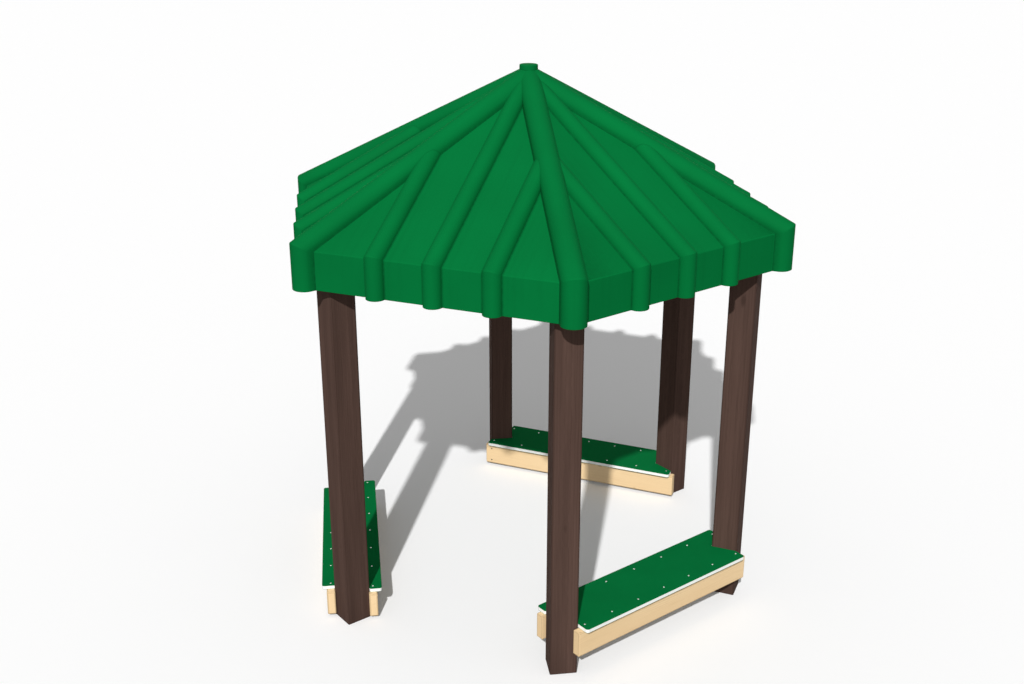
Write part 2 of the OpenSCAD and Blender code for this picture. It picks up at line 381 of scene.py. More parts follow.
def stained_timber(name):
    """Brown stained timber: rings and fibres along the post, small knots, dark arrises and a damp foot."""
    brown = colours().post_brown
    timber = Finish(bpy.data.materials.new(name))
    grain = timber.path("grain")
    band = timber.noise(timber.stretch(grain, (1.3, 24.0, 24.0)), 1.0, 3.0)
    fibre = timber.noise(timber.stretch(grain, (5.0, 230.0, 230.0)), 1.0, 4.0, 0.6)
    rings = timber.rings(grain, 46.0, 2.6, 0.35)
    knots = timber.knots(timber.stretch(grain, (4.0, 11.0, 11.0)), 0.60, 0.09, 0.17)
    height = timber.add("SeparateXYZ", {0: timber.spot()}).outputs[2]
    splash = timber.math("ADD", height, timber.spread(band, 0.3, 0.7, -0.05, 0.05))
    colour = timber.mix(timber.spread(band, 0.30, 0.70), shade(brown, 0.86), shade(brown, 1.14))
    colour = timber.stain(
        colour,
        brown,
        (rings, 0.55, 1.0, 0.30, 0.66),
        (fibre, 0.50, 0.72, 0.45, 0.62),
        (knots, 0.0, 1.0, 0.55, 0.34),
        (timber.mark("arris"), 0.0, 1.0, 0.42, 0.42),
        (splash, 0.16, 0.0, 0.30, 0.55),
    )
    rough = timber.spread(fibre, 0.3, 0.7, 0.66, 0.84)
    relief = timber.bump(fibre, 0.0005)
    relief = timber.bump(rings, 0.0003, relief)
    return timber.finish(Base_Color=colour, Roughness=rough, Normal=relief, Specular_IOR_Level=0.02)


def pale_pine(name):
    """Pale planed pine: growth rings through to the end grain, fibres, a few knots and handled edges."""
    pale = colours().pine_pale
    dark = colours().pine_dark
    pine = Finish(bpy.data.materials.new(name))
    grain = pine.path("grain")
    slow = pine.stretch(grain, (1.7, 2.0, 2.0))
    sway = pine.add("TexNoise", {"Vector": slow, "Scale": 1.0, "Detail": 2.0})
    sway = pine.add("VectorMath", {0: sway.outputs["Color"], 1: (0.5, 0.5, 0.5)}, operation="SUBTRACT")
    sway = pine.stretch(sway.outputs[0], (0.0, 0.040, 0.040))
    swayed = pine.add("VectorMath", {0: grain, 1: sway}, operation="ADD").outputs[0]
    rings = pine.rings(swayed, 54.0, 0.8, 1.0)
    fibre = pine.noise(pine.stretch(grain, (7.0, 300.0, 300.0)), 1.0, 3.0, 0.6)
    tone = pine.noise(pine.stretch(grain, (1.5, 9.0, 9.0)), 1.0, 2.0)
    knots = pine.knots(pine.stretch(grain, (5.0, 9.0, 9.0)), 0.70, 0.06, 0.11)
    colour = pine.stain(
        shade(pale, 1.0),
        dark,
        (rings, 0.45, 1.0, 0.52, 1.0),
        (tone, 0.35, 0.70, 0.30, 1.02),
        (fibre, 0.52, 0.75, 0.30, 0.82),
        (knots, 0.0, 1.0, 0.70, 0.42),
        (pine.mark("arris"), 0.0, 1.0, 0.45, 0.50),
    )
    rough = pine.spread(fibre, 0.3, 0.7, 0.46, 0.62)
    relief = pine.bump(fibre, 0.0003)
    relief = pine.bump(rings, 0.0002, relief)
    return pine.finish(Base_Color=colour, Roughness=rough, Normal=relief, Specular_IOR_Level=0.14)


def board_skin_plastic(name):
    """Green skin of the seat boards: pebbled sheet with a little unevenness and fine scuffs."""
    green = colours().board_green
    sheet = Finish(bpy.data.materials.new(name))
    spot = sheet.spot()
    cloud = sheet.noise(spot, 5.0, 3.0)
    pebble = sheet.noise(spot, 520.0, 2.0)
    scuff = sheet.noise(sheet.stretch(sheet.path("grain"), (11.0, 420.0, 90.0)), 1.0, 3.0)
    worn = sheet.spread(cloud, 0.45, 0.70, 0.0, 0.30)
    worn = sheet.math("MULTIPLY", sheet.spread(scuff, 0.60, 0.72), worn)
    colour = sheet.mix(sheet.spread(cloud, 0.30, 0.70), shade(green, 0.95), shade(green, 1.06))
    colour = sheet.stain(colour, green, (pebble, 0.50, 0.72, 0.25, 0.80), (worn, 0.0, 1.0, 1.0, 1.6))
    rough = sheet.spread(pebble, 0.3, 0.7, 0.70, 0.84)
    relief = sheet.bump(pebble, 0.00030)
    return sheet.finish(Base_Color=colour, Roughness=rough, Normal=relief, Specular_IOR_Level=0.02)


def board_core_plastic(name):
    """Pale core of the seat boards, bare along the cut edges, with fine cutter lines and a little dirt."""
    white = colours().board_core
    core = Finish(bpy.data.materials.new(name))
    spot = core.spot()
    lines = core.noise(core.stretch(spot, (4.0, 4.0, 1400.0)), 1.0, 2.0)
    dirt = core.noise(spot, 26.0, 4.0)
    dirty = shade((0.62, 0.66, 0.56), 1.0)
    colour = core.mix(core.spread(dirt, 0.52, 0.80, 0.0, 0.22), shade(white, 1.0), dirty)
    colour = core.stain(colour, white, (lines, 0.50, 0.75, 0.15, 0.78))
    rough = core.spread(lines, 0.3, 0.7, 0.45, 0.62)
    relief = core.bump(lines, 0.00020)
    return core.finish(Base_Color=colour, Roughness=rough, Normal=relief, Specular_IOR_Level=0.14)


def screw_metal(name, colour, metallic, roughness):
    """Metal of the screws: turned lines, dull patches and a recess darkened with painted shade."""
    metal = Finish(bpy.data.materials.new(name))
    spot = metal.spot()
    patch = metal.noise(spot, 320.0, 2.0)
    # Painted shade in the screw's recess: darker where the mark is 1
    recess_shade = metal.mark("recess_shade")
    worn = metal.stain(
        shade(colour, 1.0), colour, (patch, 0.35, 0.70, 1.0, 0.78), (recess_shade, 0.0, 1.0, 0.7, 0.30)
    )
    rough = metal.spread(patch, 0.3, 0.7, roughness - 0.06, roughness + 0.10)
    relief = metal.bump(metal.noise(spot, 1500.0, 2.0), 0.00004)
    return metal.finish(Base_Color=worn, Metallic=metallic, Roughness=rough, Normal=relief)


def material(make, name, **settings):
    """A finish by its name, made the first time it is asked for."""
    return bpy.data.materials.get(name) or make(name, **settings)


def place(angle, outward, across, height):
    """Point in the shared frame from a direction in plan, distances along and across it, and a height."""
    turn = math.radians(angle)
    return Vector(
        (
            outward * math.cos(turn) - across * math.sin(turn),
            outward * math.sin(turn) + across * math.cos(turn),
            height,
        )
    )


def new_piece(
    name, points, faces, finishes, node=None, marks=None, paths=None, face_finishes=None
):
    """Makes one piece from points and faces, with its finishes and marks, and sets it on the body."""
    mesh = bpy.data.meshes.new(name)
    mesh.from_pydata(points, [], faces)
    for finish in finishes:
        mesh.materials.append(finish)
    if face_finishes:
        mesh.polygons.foreach_set("material_index", face_finishes)
    for key, values in (marks or {}).items():
        mesh.attributes.new(key, "FLOAT", "POINT").data.foreach_set("value", values)
    for key, values in (paths or {}).items():
        flat = [part for value in values for part in value]
        mesh.attributes.new(key, "FLOAT_VECTOR", "POINT").data.foreach_set("vector", flat)
    tidy = bmesh.new()
    tidy.from_mesh(mesh)
    bmesh.ops.remove_doubles(tidy, verts=tidy.verts, dist=MERGE_GAP)
    bmesh.ops.dissolve_degenerate(tidy, edges=tidy.edges, dist=MERGE_GAP)
    bmesh.ops.recalc_face_normals(tidy, faces=tidy.faces)
    tidy.to_mesh(mesh)
    tidy.free()
    mesh.shade_smooth()
    mesh.set_sharp_from_angle(angle=SHARP_TURN)
    if not mesh.polygons:
        raise RuntimeError(f"{name} has no faces")
    piece = bpy.data.objects.new(name, mesh)
    bpy.context.scene.collection.objects.link(piece)
    flats = piece.modifiers.new("Flat faces stay flat", "WEIGHTED_NORMAL")
    flats.keep_sharp = True
    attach(piece, "root")
    if node:
        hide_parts(node)


def roof_piece(name, node, points, faces, creases, runs):
    """Makes one piece of the moulded roof, with the marks and paths that its finish reads."""
    finish = material(moulded_plastic, "roof_moulded_plastic")
    marks = {"crease": creases}
    paths = {"run": runs}
    new_piece(name, points, faces, [finish], node=node, marks=marks, paths=paths)


def loft(rings, last=None):
    """Closes a row of like rings into one skin. The last ring may be closed by more than one face."""
    count = len(rings[0])
    points = [point for ring in rings for point in ring]
    faces = []
    for row in range(len(rings) - 1):
        for here in range(count):
            beside = (here + 1) % count
            low = row * count
            faces.append((low + here, low + beside, low + count + beside, low + count + here))
    top = (len(rings) - 1) * count
    faces.append(tuple(reversed(range(count))))
    for face in last or [range(count)]:
        faces.append(tuple(top + spot for spot in face))
    return points, faces


def shell(outer, inner):
    """Closes two like sheets of points, given as columns, into one thin shell."""
    columns = len(outer)
    rows = len(outer[0])
    points = [point for column in outer + inner for point in column]
    inside = columns * rows
    faces = []
    for column in range(columns - 1):
        for row in range(rows - 1):
            here = column * rows + row
            faces.append((here, here + 1, here + rows + 1, here + rows))
            back = inside + here
            faces.append((back, back + rows, back + rows + 1, back + 1))
    for row in range(rows - 1):
        for here in (row, (columns - 1) * rows + row):
            faces.append((here, inside + here, inside + here + 1, here + 1))
    for column in range(columns - 1):
        for here in (column * rows, column * rows + rows - 1):
            faces.append((here, here + rows, inside + here + rows, inside + here))
    return points, faces


def rounded_ring(width, depth, edge, lead):
    """Points of a rectangle with rounded corners, each with a mark that is 1 on the rounding."""
    ring = []
    for corner in range(4):
        turn = corner * math.pi / 2
        ahead = Vector((math.cos(turn), math.sin(turn)))
        aside = Vector((-math.sin(turn), math.cos(turn)))
        half_ahead = width / 2 if corner % 2 == 0 else depth / 2
        half_aside = depth / 2 if corner % 2 == 0 else width / 2
        centre = ahead * (half_ahead - edge) + aside * (half_aside - edge)
        ring.append((ahead * half_ahead, 0.0))
        ring.append((centre + ahead * edge - aside * lead, 0.0))
        for step in range(ROUND_STEPS + 1):
            angle = math.pi / 2 * step / ROUND_STEPS
            ring.append((centre + (ahead * math.cos(angle) + aside * math.sin(angle)) * edge, 1.0))
        ring.append((centre + aside * edge - ahead * lead, 0.0))
    return ring


def rounded_outline(corners):
    """Outline through corners given with their rounding, as points with their outward normals."""
    outline = []
    for index, (corner, edge) in enumerate(corners):
        back = (corners[index - 1][0] - corner).normalized()
        ahead = (corners[(index + 1) % len(corners)][0] - corner).normalized()
        half = back.angle(ahead) / 2
        centre = corner + (back + ahead).normalized() * edge / math.sin(half)
        first = corner + back * edge / math.tan(half) - centre
        last = corner + ahead * edge / math.tan(half) - centre
        sweep = math.atan2(first.x * last.y - first.y * last.x, first.dot(last))
        outwards = 1.0 if sweep > 0 else -1.0
        for step in range(ROUND_STEPS + 1):
            turn = sweep * step / ROUND_STEPS
            spoke = Vector(
                (
                    first.x * math.cos(turn) - first.y * math.sin(turn),
                    first.x * math.sin(turn) + first.y * math.cos(turn),
                )
            )
            outline.append((centre + spoke, spoke.normalized() * outwards))
    return outline


def roof_lines():
    """Lines that the roof is drawn to, worked out from the sizes as the solids' own are."""
    size = sizes()
    pitch = size.roof_pitch
    apex = size.fascia_bottom + size.fascia_height + size.fascia_apothem * math.tan(pitch)
    hip_pitch = math.atan(math.tan(pitch) * math.cos(HALF_TURN))
    normal_share = math.sin(hip_pitch) * math.sin(pitch) * math.cos(HALF_TURN)
    normal_share += math.cos(hip_pitch) * math.cos(pitch)
    return SimpleNamespace(
        pitch=pitch,
        apex=apex,
        inner_apex=apex - size.roof_skin / math.cos(pitch),
        hip_pitch=hip_pitch,
        hip_lean=math.acos(normal_share),
        hip_sink=size.rib_sink / normal_share,
        corner_sink=size.corner_sink / math.cos(HALF_TURN),
        corner=(size.fascia_apothem - size.corner_sink) / math.cos(HALF_TURN),
    )


def bend_line(stops, corner, bend, pitch, foot, ease):
    """One line of a moulding as (outward, height) points: stops on the slope, bend and upright part."""
    outward, height = corner
    reach = bend * math.tan((math.pi / 2 - pitch) / 2)
    start = outward - reach * math.cos(pitch)
    line = []
    for stop, drop in stops:
        stop = min(stop, start)
        line.append((stop, height + (outward - stop) * math.tan(pitch) - drop))
    for step in range(BEND_STEPS + 1):
        angle = (math.pi / 2 - pitch) * (1 - step / BEND_STEPS)
        line.append((outward - bend + bend * math.cos(angle), height - reach + bend * math.sin(angle)))
    line.append((outward, (height - reach + foot) / 2))
    line.append((outward, foot + abs(ease)))
    line.append((outward - ease, foot))
    return line


def panel_section():
    """Section across a roof panel as (across, rise, normal across, normal rise, crease) points."""
    size = sizes()
    radius = size.face_rib_radius
    crease = size.crease_radius
    sink = size.rib_sink
    foot = math.sqrt((radius + crease) ** 2 - (sink + crease) ** 2)
    lean = math.atan2(sink + crease, foot)
    end = size.fascia_apothem * math.tan(HALF_TURN)
    section = [(-end, *PLAIN_FACE)]
    for middle in (-size.face_rib_spacing, 0.0, size.face_rib_spacing):
        section.append((middle - foot - CREASE_LEAD, *PLAIN_FACE))
        half = []
        for step in range(CREASE_STEPS + 1):
            share = step / CREASE_STEPS
            angle = -math.pi / 2 + (math.pi / 2 - lean) * share
            spoke = (math.cos(angle), math.sin(angle))
            # The crease mark carries dirt and painted shade, thickest a little way round the crease
            mark = 1.0 - abs(share - CREASE_DIRT_AND_SHADE_PEAK)
            across = -foot + crease * spoke[0]
            half.append((across, crease + crease * spoke[1], -spoke[0], -spoke[1], mark))
        section.extend((middle + across, rise, *rest) for across, rise, *rest in half)
        for step in range(1, ARC_STEPS):
            angle = math.pi - lean - (math.pi - 2 * lean) * step / ARC_STEPS
            spoke = (math.cos(angle), math.sin(angle))
            section.append((middle + radius * spoke[0], radius * spoke[1] - sink, spoke[0], spoke[1], 0.0))
        for across, rise, lean_across, lean_rise, mark in reversed(half):
            section.append((middle - across, rise, -lean_across, lean_rise, mark))
        section.append((middle + foot + CREASE_LEAD, *PLAIN_FACE))
    section.append((end, *PLAIN_FACE))
    return section


def hip_cover_edge(lines, across, rise, radius):
    """Distance from the centre at which a line down a roof face comes out from under the hip rib."""
    aside = abs(across)
    width = FLANK_SHARE * radius
    near = aside / math.tan(HALF_TURN)
    far = (width + aside * math.cos(HALF_TURN)) / math.sin(HALF_TURN)

    def stand(outward):
        along = outward * math.cos(HALF_TURN) + aside * math.sin(HALF_TURN)
        height = rise / math.cos(lines.pitch) - outward * math.tan(lines.pitch)
        axis = -lines.hip_sink / math.cos(lines.hip_pitch) - along * math.tan(lines.hip_pitch)
        return (height - axis) * math.cos(lines.hip_pitch)

    if stand(far) <= radius * math.sqrt(1 - FLANK_SHARE**2):
        return far
    for _ in range(HALVINGS):
        middle = (near + far) / 2
        off_axis = middle * math.sin(HALF_TURN) - aside * math.cos(HALF_TURN)
        if off_axis**2 + stand(middle) ** 2 < radius**2:
            near = middle
        else:
            far = middle
    return far


def panel_column(lines, across, rise, plain, cover, tuck, bend, ease):
    """One line down a roof panel as (outward, height) points.
    Under the hip rib the line runs on the plain face, so the panel's ribs end closed."""
    size = sizes()
    outward = size.fascia_apothem + rise
    top = abs(across) / math.tan(HALF_TURN)
    edge = hip_cover_edge(lines, across, rise, cover)
    covered = max(top, edge - tuck)
    drop = (rise - min(rise, plain)) / math.cos(lines.pitch)
    stops = [(top, drop), (covered, drop), (covered, 0.0), (edge, 0.0)]
    stops += [(edge + below, 0.0) for below in RIB_END_PLACES]
    first = edge + RIB_END_PLACES[-1]
    stops += [(first + (outward - first) * row / SLOPE_ROWS, 0.0) for row in range(1, SLOPE_ROWS)]
    height = lines.apex + rise / math.cos(lines.pitch) - outward * math.tan(lines.pitch)
    return bend_line(stops, (outward, height), bend, lines.pitch, size.fascia_bottom, ease)


def make_roof_panel(name, angle, number):
    """Roof panel: sloping face and fascia in one moulded bend, with three hollow ribs."""
    size = sizes()
    lines = roof_lines()
    skin = size.roof_skin
    bend = size.eave_radius
    cover = size.hip_rib_radius
    inner_end = (size.fascia_apothem - skin) * math.tan(HALF_TURN)
    outer = []
    inner = []
    creases = []
    runs = []
    for across, rise, lean_across, lean_rise, crease in panel_section():
        line = panel_column(lines, across, rise, 0.0, cover, RIB_END_TUCK, bend, size.rim_edge)
        outer.append([place(angle, outward, across, height) for outward, height in line])
        # The rows where a rib ends under the hip rib get dirt and painted shade
        marks = [*RIB_END_MARKS, *[0.0] * (len(line) - len(RIB_END_MARKS))]
        creases.extend(max(mark, crease) for mark in marks)
        runs.extend((across, height, number) for outward, height in line)
        under = max(-inner_end, min(inner_end, across - lean_across * skin))
        depth = rise - lean_rise * skin
        line = panel_column(lines, under, depth, -skin, cover + skin, 0.0, bend - skin, -size.rim_edge)
        inner.append([place(angle, outward, under, height) for outward, height in line])
    for column in inner:
        creases.extend(0.0 for _ in column)
        runs.extend((point.length, point.z, number) for point in column)
    points, faces = shell(outer, inner)
    roof_piece(f"roof_panel_{name}_shell", f"roof_panel_{name}", points, faces, creases, runs)


def hip_side(lines, width, lean, sink):
    """Crease beside a hip rib as (across, stand) points, from its flank out to the surface below it."""
    crease = sizes().crease_radius
    centre = width + crease
    stand = sink - centre * math.tan(lean) + crease / math.cos(lean)
    points = []
    for step in range(CREASE_STEPS + 1):
        angle = math.pi + (math.pi / 2 - lean) * step / CREASE_STEPS
        points.append((centre + crease * math.cos(angle), stand + crease * math.sin(angle)))
    return points


def both_sides(half):
    """Whole section of a hip rib from the half on one side of its middle."""
    other = []
    for across, stand, across_below, *rest in reversed(half[1:]):
        other.append((-across, stand, -across_below, *rest))
    return other + half


def hip_section(lines):
    """Outer and inner sections of a hip rib. Each point has a place on the slope and one on the upright."""
    size = sizes()
    radius = size.hip_rib_radius
    width = FLANK_SHARE * radius
    inner_radius = radius - size.roof_skin
    inner_width = FLANK_SHARE * inner_radius
    sweep = math.asin(FLANK_SHARE)
    slope = hip_side(lines, width, lines.hip_lean, lines.hip_sink)
    upright = hip_side(lines, width, HALF_TURN, lines.corner_sink)
    slope_foot = lines.hip_sink - inner_width * math.tan(lines.hip_lean)
    upright_foot = lines.corner_sink - inner_width * math.tan(HALF_TURN)
    outer_half = []
    inner_half = []
    for step in range(ARC_STEPS // 2 + 1):
        angle = sweep * step / (ARC_STEPS // 2)
        point = (radius * math.sin(angle), radius * math.cos(angle))
        outer_half.append((*point, *point, 0.0))
        point = (inner_radius * math.sin(angle), inner_radius * math.cos(angle))
        inner_half.append((*point, *point))
    last = inner_half[-1][1]
    for step in range(CREASE_STEPS + 1):
        share = (step + 1) / (CREASE_STEPS + 1)
        # Dirt and painted shade in the crease beside the hip rib, least at its flank
        mark = HIP_DIRT_AND_SHADE_LEAST + (1 - HIP_DIRT_AND_SHADE_LEAST) * min(1.0, 2 * share)
        outer_half.append((*slope[step], *upright[step], mark))
        on_slope = last + (slope_foot - last) * share
        on_upright = last + (upright_foot - last) * share
        inner_half.append((inner_width, on_slope, inner_width, on_upright))
    return both_sides(outer_half), both_sides(inner_half)


def hip_column(lines, angle, spot, bend, ease):
    """Points of one line down a hip rib, from the cap to the fascia's lower edge."""
    size = sizes()
    across, stand, across_below, stand_below = spot
    start = CAP_BOX[1].x * HIP_START_SHARE
    top = max(math.sqrt(max(0.0, start**2 - across**2)), abs(across) / math.tan(HALF_TURN))
    outward = lines.corner + stand_below
    height = lines.apex + (stand - lines.hip_sink) / math.cos(lines.hip_pitch)
    height -= outward * math.tan(lines.hip_pitch)
    stops = []
    for row in range(2 * SLOPE_ROWS):
        stops.append((top + (outward - top) * row / (2 * SLOPE_ROWS), 0.0))
    line = bend_line(stops, (outward, height), bend, lines.hip_pitch, size.fascia_bottom, ease)
    points = []
    for row, (out, high) in enumerate(line):
        share = min(1.0, max(0.0, (row - len(stops)) / BEND_STEPS))
        points.append(place(angle, out, across + (across_below - across) * share, high))
    return points


def make_hip_rib(name, angle, number):
    """Hip rib: hollow cover over the joint of two panels, with a moulded bend at the corner of the eave."""
    size = sizes()
    lines = roof_lines()
    outer_section, inner_section = hip_section(lines)
    outer = [hip_column(lines, angle, spot[:4], size.eave_radius, size.rim_edge) for spot in outer_section]
    inner_bend = size.eave_radius - size.roof_skin
    inner = [hip_column(lines, angle, spot, inner_bend, -size.rim_edge) for spot in inner_section]
    creases = []
    for column, spot in zip(outer, outer_section):
        creases.extend(spot[4] for _ in column)
    creases.extend(0.0 for column in inner for _ in column)
    sections = outer_section + inner_section
    runs = [(spot[0], point.z, number) for column, spot in zip(outer + inner, sections) for point in column]
    points, faces = shell(outer, inner)
    roof_piece(f"hip_rib_{name}_cover", f"hip_rib_{name}", points, faces, creases, runs)


def make_cap():
    """Round cap over the meeting of the hip ribs, with a rounded rim and a slightly crowned top."""
    size = sizes()
    radius = CAP_BOX[1].x
    base = CAP_BOX[0].z
    top = CAP_BOX[1].z
    # The foot rows carry the crease mark: dirt and painted shade where the cap sits on the ribs
    section = [
        (radius - CAP_FOOT_EASE, base, 1.0),
        (radius, base + CAP_FOOT_EASE, 0.9),
        (radius, base + CAP_DIRT_AND_SHADE_HEIGHT, 0.0),
    ]
    for step in range(ROUND_STEPS + 1):
        angle = math.pi / 2 * step / ROUND_STEPS
        out = radius - size.cap_edge * (1 - math.cos(angle))
        section.append((out, top - CAP_CROWN - size.cap_edge * (1 - math.sin(angle)), 0.0))
    section += [(radius * out, top - CAP_CROWN * below, 0.0) for out, below in CAP_TOP_RINGS]
    rings = []
    creases = []
    for out, height, crease in section:
        rings.append([place(360 * turn / CAP_TURNS, out, 0.0, height) for turn in range(CAP_TURNS)])
        creases.extend([crease] * CAP_TURNS)
    points, faces = loft(rings)
    runs = [(math.atan2(point.y, point.x) * radius, point.z, CAP_RUN) for point in points]
    roof_piece("apex_cap_moulded", "apex_cap", points, faces, creases, runs)


def make_post(name, angle, number):
    """Square post with rounded arrises, an eased foot, flats for the beams and a top cut to the roof."""
    size = sizes()
    lines = roof_lines()
    bench, side = next(pair for pair in BENCHES.items() if abs(pair[1] - angle) == HALF_TURN_DEGREES)
    beam_low, beam_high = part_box(f"bench_{bench}_outer_beam")
    outer_flat = -OUTER_BEAM_BOX[1].x
    inner_flat = -INNER_BEAM_BOX[0].x
    towards = place(side, 1.0, 0.0, 0.0)
    foot = size.post_foot_edge
    whole = rounded_ring(size.post_side, size.post_side, size.post_edge, POST_LEAD)
    eased_side = size.post_side - 2 * foot
    eased = rounded_ring(eased_side, eased_side, size.post_edge - foot, POST_LEAD)
    rows = [(eased, 0.0, False), (whole, foot, False)]
    rows += [(whole, beam_low.z, False), (whole, beam_low.z, True)]
    rows += [(whole, beam_high.z, True), (whole, beam_high.z, False), (whole, None, False)]
    rings = []
    arrises = []
    grains = []
    for ring, height, flat in rows:
        points = []
        for spot, mark in ring:
            point = place(angle, size.post_radius + spot.x, spot.y, height or 0.0)
            if flat:
                reach = point.dot(towards)
                point += towards * (min(reach, outer_flat) - reach)
                reach = point.dot(towards)
                point += towards * (max(reach, inner_flat) - reach)
            if height is None:
                turns = (-HALF_TURN_DEGREES, HALF_TURN_DEGREES)
                reaches = [point.dot(place(angle + turn, 1.0, 0.0, 0.0)) for turn in turns]
                point.z = lines.inner_apex - max(reaches) * math.tan(lines.pitch)
            points.append(point)
            arrises.append(mark if height != 0.0 else 1.0)
            grains.append(Vector((point.z, spot.x, spot.y)) + number * POST_GRAIN_STEP)
        rings.append(points)
    count = len(whole)
    half = count // 2
    points, faces = loft(rings, [range(half + 1), [*range(half, count), 0]])
    new_piece(
        f"post_{name}_timber",
        points,
        faces,
        [material(stained_timber, "post_stained_timber")],
        node=f"post_{name}",
        marks={"arris": arrises},
        paths={"grain": grains},
    )


def make_beam(bench, row, number):
    """Bench beam: planed pine with rounded edges and ends."""
    size = sizes()
    angle = BENCHES[bench]
    node = f"bench_{bench}_{row}_beam"
    low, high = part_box(node)
    box = OUTER_BEAM_BOX if row == "outer" else INNER_BEAM_BOX
    thick = box[1].x - box[0].x
    tall = high.z - low.z
    half = box[1].y
    middle = -(box[0].x + box[1].x) / 2
    edge = size.beam_edge
    ends = [(edge + BEAM_LEAD, 0.0, 0.0)]
    for step in range(ROUND_STEPS + 1):
        turn = math.pi / 2 * step / ROUND_STEPS
        wear = 1.0 - math.sin(turn) ** EDGE_WEAR_POWER
        ends.append((edge * (1 - math.sin(turn)), edge * (1 - math.cos(turn)), wear))
    ends.append((0.0, edge + BEAM_LEAD, 0.0))
    stations = [(inset, -half + back, mark) for inset, back, mark in ends]
    stations += [(inset, half - back, mark) for inset, back, mark in reversed(ends)]
    pith_across = PITH_FIRST[0] + PITH_STEP[0] * number
    pith_up = PITH_FIRST[1] + PITH_STEP[1] * PITH_ORDER[number]
    rings = []
    arrises = []
    grains = []
    for inset, along, mark in stations:
        rounded = max(edge - inset, LEAST_EDGE)
        ring = rounded_ring(thick - 2 * inset, tall - 2 * inset, rounded, BEAM_LEAD)
        points = []
        for spot, rounding in ring:
            points.append(place(angle, middle + spot.x, along, low.z + tall / 2 + spot.y))
            end_face = inset > edge
            arrises.append(0.0 if end_face else max(rounding, mark))
            grains.append((along + BEAM_GRAIN_STEP * number, spot.x + pith_across, spot.y + pith_up))
        rings.append(points)
    points, faces = loft(rings)
    new_piece(
        f"{node}_pine",
        points,
        faces,
        [material(pale_pine, "beam_pale_pine")],
        node=node,
        marks={"arris": arrises},
        paths={"grain": grains},
    )


def board_outline():
    """Plan of a seat board, notched for two posts, as (outward, across) points with their normals."""
    size = sizes()
    post = Vector((size.post_radius * math.cos(HALF_TURN), size.post_radius * math.sin(HALF_TURN)))
    ahead = Vector((math.cos(HALF_TURN), math.sin(HALF_TURN)))
    aside = Vector((-math.sin(HALF_TURN), math.cos(HALF_TURN)))
    notch = size.post_side / 2 + size.notch_gap
    outer_edge = -BOARD_BOX[0].x
    inner_edge = -BOARD_BOX[1].x
    outer_half = OUTER_BEAM_BOX[1].y - size.beam_overrun - size.board_end_gap
    inner_half = BOARD_BOX[1].y
    deep = post - (ahead + aside) * notch
    beside_outer = deep + ahead * ((outer_half - deep.y) / ahead.y)
    beside_inner = deep + aside * ((inner_half - deep.y) / aside.y)
    half = [
        (Vector((outer_edge, outer_half)), size.board_corner),
        (beside_outer, size.board_notch_corner),
        (deep, size.post_edge + size.notch_gap),
        (beside_inner, size.board_notch_corner),
        (Vector((inner_edge, inner_half)), size.board_corner),
    ]
    mirrored = [(Vector((corner.x, -corner.y)), edge) for corner, edge in reversed(half)]
    return rounded_outline(half + mirrored)


def make_board(bench, number):
    """Seat board: a pale core between two green skins, with rounded edges and notches for the posts."""
    size = sizes()
    angle = BENCHES[bench]
    node = f"bench_{bench}_board"
    low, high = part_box(node)
    edge = size.board_edge
    rise = []
    for step in range(BOARD_EDGE_STEPS + 1):
        turn = math.pi / 2 * step / BOARD_EDGE_STEPS
        rise.append((edge * (1 - math.sin(turn)), edge * (1 - math.cos(turn))))
    levels = [(inset, low.z + up) for inset, up in rise]
    levels += [(0.0, low.z + size.board_skin), (0.0, high.z - size.board_skin)]
    levels += [(inset, high.z - up) for inset, up in reversed(rise)]
    core_row = len(rise)
    outline = board_outline()
    rings = []
    grains = []
    for inset, height in levels:
        ring = []
        for spot, normal in outline:
            spot = spot - normal * inset
            ring.append(place(angle, spot.x, spot.y, height))
            grains.append((spot.y + BOARD_GRAIN_STEP * number, spot.x, height))
        rings.append(ring)
    points, faces = loft(rings)
    finishes = []
    for row in range(len(levels) - 1):
        finishes.extend([int(row == core_row)] * len(outline))
    finishes += [0, 0]
    skin = material(board_skin_plastic, "board_green_skin")
    core = material(board_core_plastic, "board_pale_core")
    new_piece(
        f"{node}_layers",
        points,
        faces,
        [skin, core],
        node=node,
        paths={"grain": grains},
        face_finishes=finishes,
    )


def screw_head(seat, axis, aside, turn):
    """Points, faces and painted recess shade marks of a screw's pan head with a six-lobed recess, standing
    on a face.
    """
    size = sizes()
    radius = size.screw_radius
    tall = size.screw_height
    across = axis.cross(aside)
    rings = []
    marks = []
    for out, up, lobe, mark in SCREW_SECTION_SHARES:
        ring = []
        for step in range(SCREW_TURNS):
            angle = 2 * math.pi * step / SCREW_TURNS
            reach = radius * out * (1 + lobe * math.cos(SCREW_LOBES * (angle - turn)))
            spot = aside * math.cos(angle) * reach + across * math.sin(angle) * reach
            ring.append(seat + spot + axis * tall * up)
            marks.append(mark)
        rings.append(ring)
    points, faces = loft(rings)
    return points, faces, marks


def join_screws(name, seats, axis, aside, finish):
    """Makes one piece of like screws, each turned a little differently."""
    points = []
    faces = []
    marks = []
    for number, seat in enumerate(seats):
        head_points, head_faces, head_marks = screw_head(seat, axis, aside, SCREW_TURN_STEP * number)
        faces.extend(tuple(spot + len(points) for spot in face) for face in head_faces)
        points.extend(head_points)
        marks.extend(head_marks)
    new_piece(name, points, faces, [finish], marks={"recess_shade": marks})


